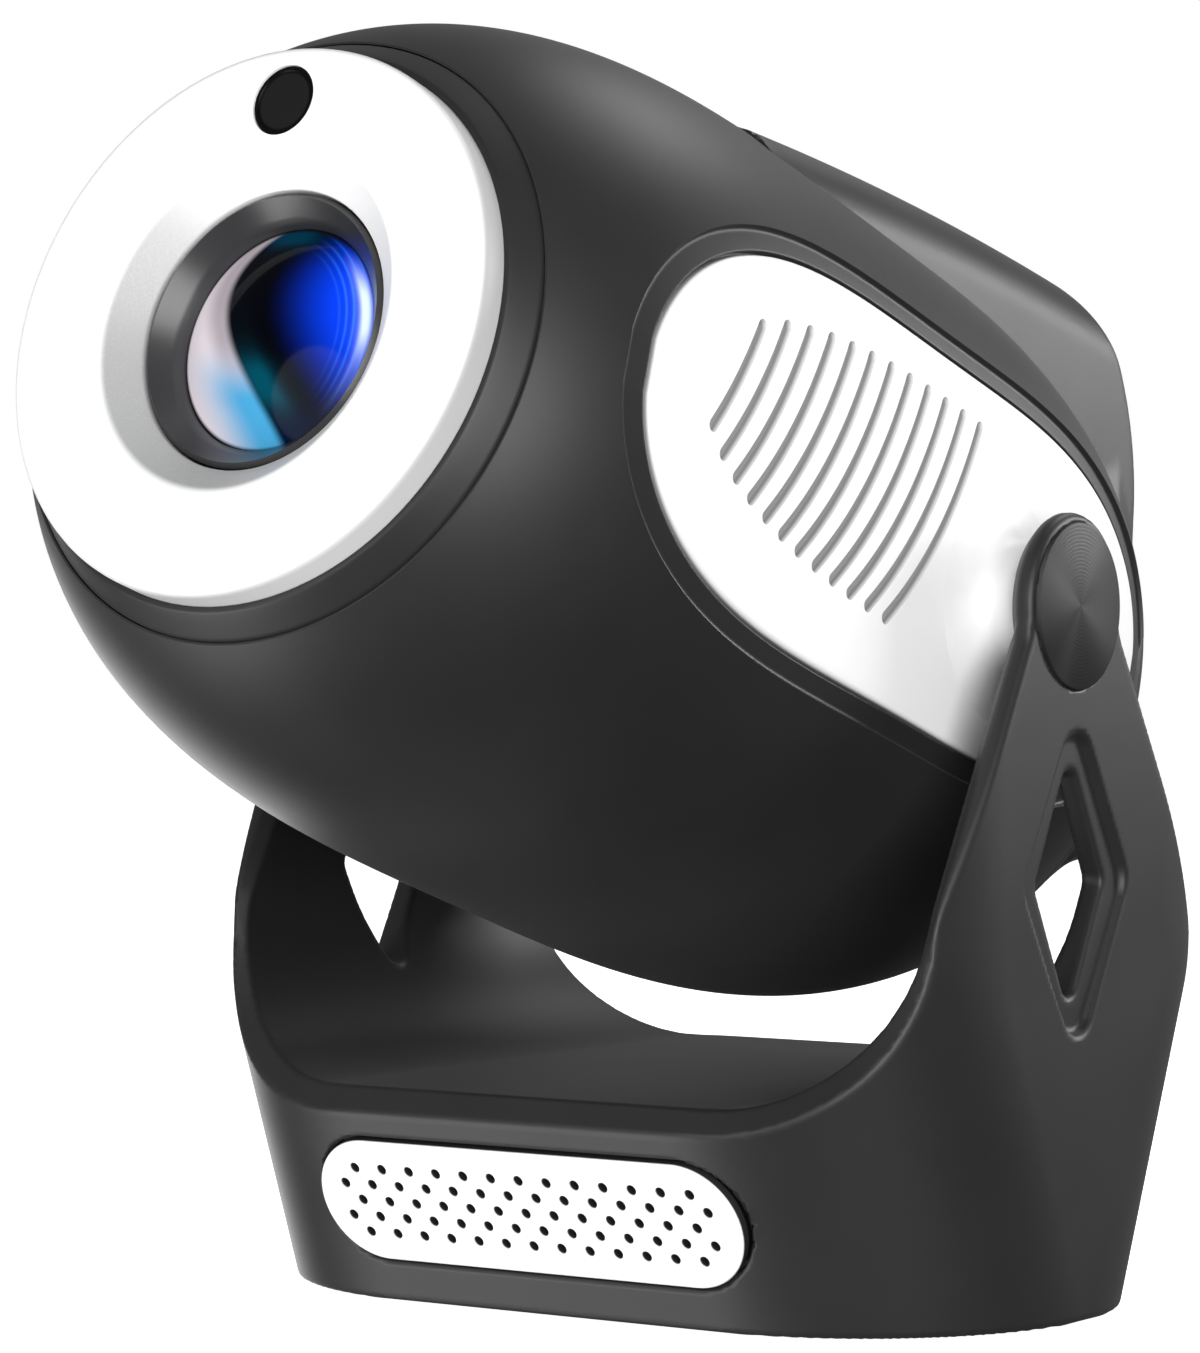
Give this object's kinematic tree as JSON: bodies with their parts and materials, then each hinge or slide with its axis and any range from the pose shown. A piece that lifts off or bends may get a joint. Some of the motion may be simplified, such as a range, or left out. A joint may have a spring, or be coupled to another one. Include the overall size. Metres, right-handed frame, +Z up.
{
  "type": "tilting video projector",
  "caption": "Egg-shaped video projector with a white lens ring and vented cheeks, tilting on hinge caps between the arms of a flared speaker stand.",
  "frame": {"origin": "mouth of the tripod thread in the middle of the bottom plate", "axes": "+Z up along the thread out of the table, -Y to the front where the lens looks, +X to the right arm as seen from behind the stand"},
  "size_m": [0.172, 0.2497, 0.2392],
  "materials": {
    "soft_black": "soft-touch moulded, dark grey",
    "black_plastic": "satin moulded, black",
    "gloss_black": "smoked, polished",
    "white_plastic": "satin moulded, white",
    "rubber": "moulded",
    "zinc_screw": "zinc plated",
    "brass": "turned",
    "cap_metal": "spun, dark anodised",
    "steel": "turned",
    "socket_metal": "folded sheet",
    "aluminium": "extruded",
    "cloth": "acoustic mesh",
    "cone_paper": "pressed paper",
    "magnet": "ground ferrite",
    "board_green": "solder mask",
    "emitter": "phosphor",
    "lens_glass": "coated, polished",
    "plate_glass": "polished"
  },
  "bodies": {
    "stand": {"yoke_frame": "soft_black", "base_plate": "black_plastic", "rubber_feet": "rubber", "base_screws": "zinc_screw", "tripod_insert": "brass", "speaker_grille": "white_plastic", "grille_cloth": "cloth", "speaker_frames": "black_plastic", "speaker_cones": "cone_paper", "speaker_magnets": "magnet", "arm_cap_left": "cap_metal", "arm_cap_right": "cap_metal"},
    "head": {"head_shell": "soft_black", "rear_cover": "soft_black", "trim_ring": "soft_black", "front_bezel": "white_plastic", "sensor_window": "gloss_black", "sensor_module": "black_plastic", "side_panel_left": "white_plastic", "side_panel_right": "white_plastic", "lens_tube": "black_plastic", "optics_housing": "black_plastic", "condenser_lens": "lens_glass", "heat_glass": "plate_glass", "rear_fresnel": "plate_glass", "lcd_panel": "plate_glass", "front_fresnel": "plate_glass", "led_board": "aluminium", "led_emitter": "emitter", "heat_sink": "aluminium", "fan_frame": "black_plastic", "main_board": "board_green", "hdmi_socket": "socket_metal", "usb_socket": "socket_metal", "audio_jack": "black_plastic", "dc_jack": "black_plastic", "tact_switch": "black_plastic", "focus_motor": "steel", "motor_bracket": "steel", "hinge_shaft_left": "steel", "hinge_shaft_right": "steel", "friction_washer_left": "steel", "friction_washer_right": "steel", "hinge_nuts": "zinc_screw", "cover_screws": "zinc_screw"},
    "fan": {"fan_rotor": "black_plastic"},
    "focus_lens": {"lens_cell": "black_plastic", "front_lens": "lens_glass", "rear_lens": "lens_glass"},
    "focus_screw": {"lead_screw": "steel"},
    "button": {"power_button": "black_plastic"}
  },
  "joints": [
    {"name": "head_tilt", "type": "hinge", "parent": "stand", "child": "head", "pos_m": [0, 0, 0.1334], "axis": [-1, 0, 0], "range_deg": [-29.3, 72.7]},
    {"name": "fan_spin", "type": "hinge", "parent": "head", "child": "fan", "pos_m": [0, 0.04091, 0.1437], "axis": [0, -0.9548, 0.2974], "continuous": true},
    {"name": "focus_slide", "type": "slide", "parent": "head", "child": "focus_lens", "axis": [0, -0.9548, 0.2974], "range_m": [-0.002, 0.002]},
    {"name": "focus_screw_turn", "type": "hinge", "parent": "head", "child": "focus_screw", "pos_m": [0, -0.07413, 0.19805], "axis": [0, -0.9548, 0.2974], "range_deg": [-360, 360]},
    {"name": "power_press", "type": "slide", "parent": "head", "child": "button", "axis": [0, -0.9548, 0.2974], "range_m": [0, 0.0008], "stiffness_N_per_m": 1500, "springref_m": -0.001}
  ],
  "couplings": [
    {"joint": "focus_screw_turn", "follows": "focus_slide", "rad_per_m": 3141.6}
  ]
}
